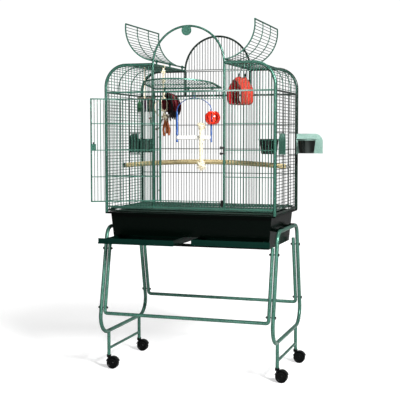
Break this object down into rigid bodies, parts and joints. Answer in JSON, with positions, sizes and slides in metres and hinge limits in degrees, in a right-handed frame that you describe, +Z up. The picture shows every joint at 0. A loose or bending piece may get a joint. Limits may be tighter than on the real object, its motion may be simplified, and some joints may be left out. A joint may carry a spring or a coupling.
{
  "type": "bird cage on stand",
  "caption": "Wheeled metal bird cage with an opening play-top roof, front and landing doors, feeder doors, slide-out trays, a perch, a swing and hanging toys.",
  "frame": {"origin": "on the floor under the middle of the cage, midway between the four corner posts", "axes": "+X to the cage's right as seen from the front, +Y to the back, +Z up"},
  "size_m": [1.0743, 0.8827, 1.8153],
  "materials": {
    "stand_enamel": "hammered enamel, dark green on the tubes of the stand",
    "cage_enamel": "hammered enamel, light grey-green where lit",
    "deep_enamel": "hammered enamel, dark green",
    "base_enamel": "near-black gloss enamel",
    "tray_metal": "gloss dark green enamel",
    "tray_enamel": "gloss dark teal enamel",
    "caster_plastic": "satin black moulding",
    "wheel_plastic": "satin black tread",
    "black_fitting": "satin black",
    "bowl_steel": "polished stainless steel",
    "bright_steel": "bright zinc plate",
    "perch_wood": "bare sanded wood",
    "blue_plastic": "gloss",
    "white_plastic": "satin",
    "red_plastic": "gloss, translucent",
    "cotton_rope": "twisted cotton",
    "red_leather": "soft grained leather",
    "toy_tube": "satin",
    "plush": "short plush and woven cotton"
  },
  "bodies": {
    "cage": {"side_frame_left": "stand_enamel", "side_frame_right": "stand_enamel", "front_u_frame": "stand_enamel", "rear_u_frame": "stand_enamel", "frame_bolts": "black_fitting", "base_brackets": "base_enamel", "base_skirt": "base_enamel", "base_ledge": "base_enamel", "tray_runners": "deep_enamel", "front_bottom_rail": "deep_enamel", "front_left_panel": "cage_enamel", "front_right_panel": "cage_enamel", "door_surround": "cage_enamel", "front_arch": "cage_enamel", "arch_disc": "cage_enamel", "back_panel": "deep_enamel", "back_arch": "deep_enamel", "left_wall": "deep_enamel", "right_wall": "deep_enamel", "roof_left": "cage_enamel", "roof_right": "cage_enamel", "ridge_rails": "cage_enamel", "hinge_eyes": "cage_enamel", "latch_strike": "black_fitting", "swing_arm": "cage_enamel", "perch": "perch_wood", "perch_fittings": "bright_steel", "bird_tent": "plush", "tent_hooks": "black_fitting"},
    "door": {"main_door": "cage_enamel"},
    "door_latch": {"door_latch": "black_fitting"},
    "landing": {"landing_door": "cage_enamel"},
    "left_wing": {"wing_left": "cage_enamel"},
    "right_wing": {"wing_right": "cage_enamel"},
    "left_feeder": {"feeder_door_left": "cage_enamel"},
    "front_feeder": {"feeder_door_front": "cage_enamel"},
    "rear_feeder": {"feeder_door_rear": "cage_enamel"},
    "left_bowl": {"bowl_left": "bowl_steel"},
    "front_bowl": {"bowl_front": "bowl_steel"},
    "rear_bowl": {"bowl_rear": "bowl_steel"},
    "left_tray": {"tray_left": "tray_metal", "tray_front_left": "tray_enamel"},
    "right_tray": {"tray_right": "tray_metal", "tray_front_right": "tray_enamel"},
    "grate": {"floor_grate": "cage_enamel"},
    "swing": {"swing_frame": "blue_plastic", "swing_perch": "white_plastic", "swing_ball": "red_plastic", "swing_rope": "cotton_rope"},
    "toys": {"toy_rope": "cotton_rope", "toy_leather": "red_leather", "toy_tubes": "toy_tube"},
    "caster_fl": {"caster_body_fl": "caster_plastic"},
    "wheels_fl": {"caster_wheels_fl": "wheel_plastic"},
    "caster_fr": {"caster_body_fr": "caster_plastic"},
    "wheels_fr": {"caster_wheels_fr": "wheel_plastic"},
    "caster_rl": {"caster_body_rl": "caster_plastic"},
    "wheels_rl": {"caster_wheels_rl": "wheel_plastic"},
    "caster_rr": {"caster_body_rr": "caster_plastic"},
    "wheels_rr": {"caster_wheels_rr": "wheel_plastic"}
  },
  "joints": [
    {"name": "door_hinge", "type": "hinge", "parent": "cage", "child": "door", "pos_m": [-0.147, -0.268, 1.164], "axis": [0, 0, 1], "range_deg": [-20, 150]},
    {"name": "door_latch_turn", "type": "hinge", "parent": "door", "child": "door_latch", "pos_m": [-0.43625, -0.435, 1.179], "axis": [-0.5, 0.866, 0], "range_deg": [-90, 90]},
    {"name": "landing_hinge", "type": "hinge", "parent": "cage", "child": "landing", "pos_m": [0, -0.252, 1.475], "axis": [-1, 0, 0], "range_deg": [0, 84]},
    {"name": "left_wing_hinge", "type": "hinge", "parent": "cage", "child": "left_wing", "pos_m": [-0.189, 0, 1.619], "axis": [0, 1, 0], "range_deg": [0, 83.6]},
    {"name": "right_wing_hinge", "type": "hinge", "parent": "cage", "child": "right_wing", "pos_m": [0.189, 0, 1.619], "axis": [0, -1, 0], "range_deg": [0, 83.6]},
    {"name": "left_feeder_hinge", "type": "hinge", "parent": "cage", "child": "left_feeder", "pos_m": [-0.458, 0.218, 1.19], "axis": [0, 0, -1], "range_deg": [0, 100]},
    {"name": "front_feeder_hinge", "type": "hinge", "parent": "cage", "child": "front_feeder", "pos_m": [0.458, -0.063, 1.19], "axis": [0, 0, 1], "range_deg": [0, 100]},
    {"name": "rear_feeder_hinge", "type": "hinge", "parent": "cage", "child": "rear_feeder", "pos_m": [0.458, 0.218, 1.19], "axis": [0, 0, 1], "range_deg": [-90, 10]},
    {"name": "left_bowl_lift", "type": "slide", "parent": "left_feeder", "child": "left_bowl", "axis": [0, 0, 1], "range_m": [0, 0.09]},
    {"name": "front_bowl_lift", "type": "slide", "parent": "front_feeder", "child": "front_bowl", "axis": [0, 0, 1], "range_m": [0, 0.09]},
    {"name": "rear_bowl_lift", "type": "slide", "parent": "rear_feeder", "child": "rear_bowl", "axis": [0, 0, 1], "range_m": [0, 0.15]},
    {"name": "left_tray_slide", "type": "slide", "parent": "cage", "child": "left_tray", "axis": [0, -1, 0], "range_m": [-0.13, 0.24]},
    {"name": "right_tray_slide", "type": "slide", "parent": "cage", "child": "right_tray", "axis": [0, -1, 0], "range_m": [-0.057, 0.31]},
    {"name": "grate_slide", "type": "slide", "parent": "cage", "child": "grate", "axis": [0, -1, 0], "range_m": [0, 0.4]},
    {"name": "swing_hinge", "type": "hinge", "parent": "cage", "child": "swing", "pos_m": [0.012, -0.192, 1.44], "axis": [1, 0, 0], "range_deg": [-8, 25]},
    {"name": "toy_hinge", "type": "hinge", "parent": "cage", "child": "toys", "pos_m": [-0.189, -0.1, 1.6], "axis": [1, 0, 0], "range_deg": [-10, 10]},
    {"name": "caster_swivel_fl", "type": "hinge", "parent": "cage", "child": "caster_fl", "pos_m": [-0.46, -0.215, 0.085], "axis": [0, 0, 1], "continuous": true},
    {"name": "caster_roll_fl", "type": "hinge", "parent": "caster_fl", "child": "wheels_fl", "pos_m": [-0.438, -0.215, 0.031], "axis": [0, 1, 0], "continuous": true},
    {"name": "caster_swivel_fr", "type": "hinge", "parent": "cage", "child": "caster_fr", "pos_m": [0.46, -0.215, 0.085], "axis": [0, 0, 1], "continuous": true},
    {"name": "caster_roll_fr", "type": "hinge", "parent": "caster_fr", "child": "wheels_fr", "pos_m": [0.482, -0.215, 0.031], "axis": [0, 1, 0], "continuous": true},
    {"name": "caster_swivel_rl", "type": "hinge", "parent": "cage", "child": "caster_rl", "pos_m": [-0.46, 0.215, 0.085], "axis": [0, 0, 1], "continuous": true},
    {"name": "caster_roll_rl", "type": "hinge", "parent": "caster_rl", "child": "wheels_rl", "pos_m": [-0.438, 0.215, 0.031], "axis": [0, 1, 0], "continuous": true},
    {"name": "caster_swivel_rr", "type": "hinge", "parent": "cage", "child": "caster_rr", "pos_m": [0.46, 0.215, 0.085], "axis": [0, 0, 1], "continuous": true},
    {"name": "caster_roll_rr", "type": "hinge", "parent": "caster_rr", "child": "wheels_rr", "pos_m": [0.482, 0.215, 0.031], "axis": [0, 1, 0], "continuous": true}
  ]
}
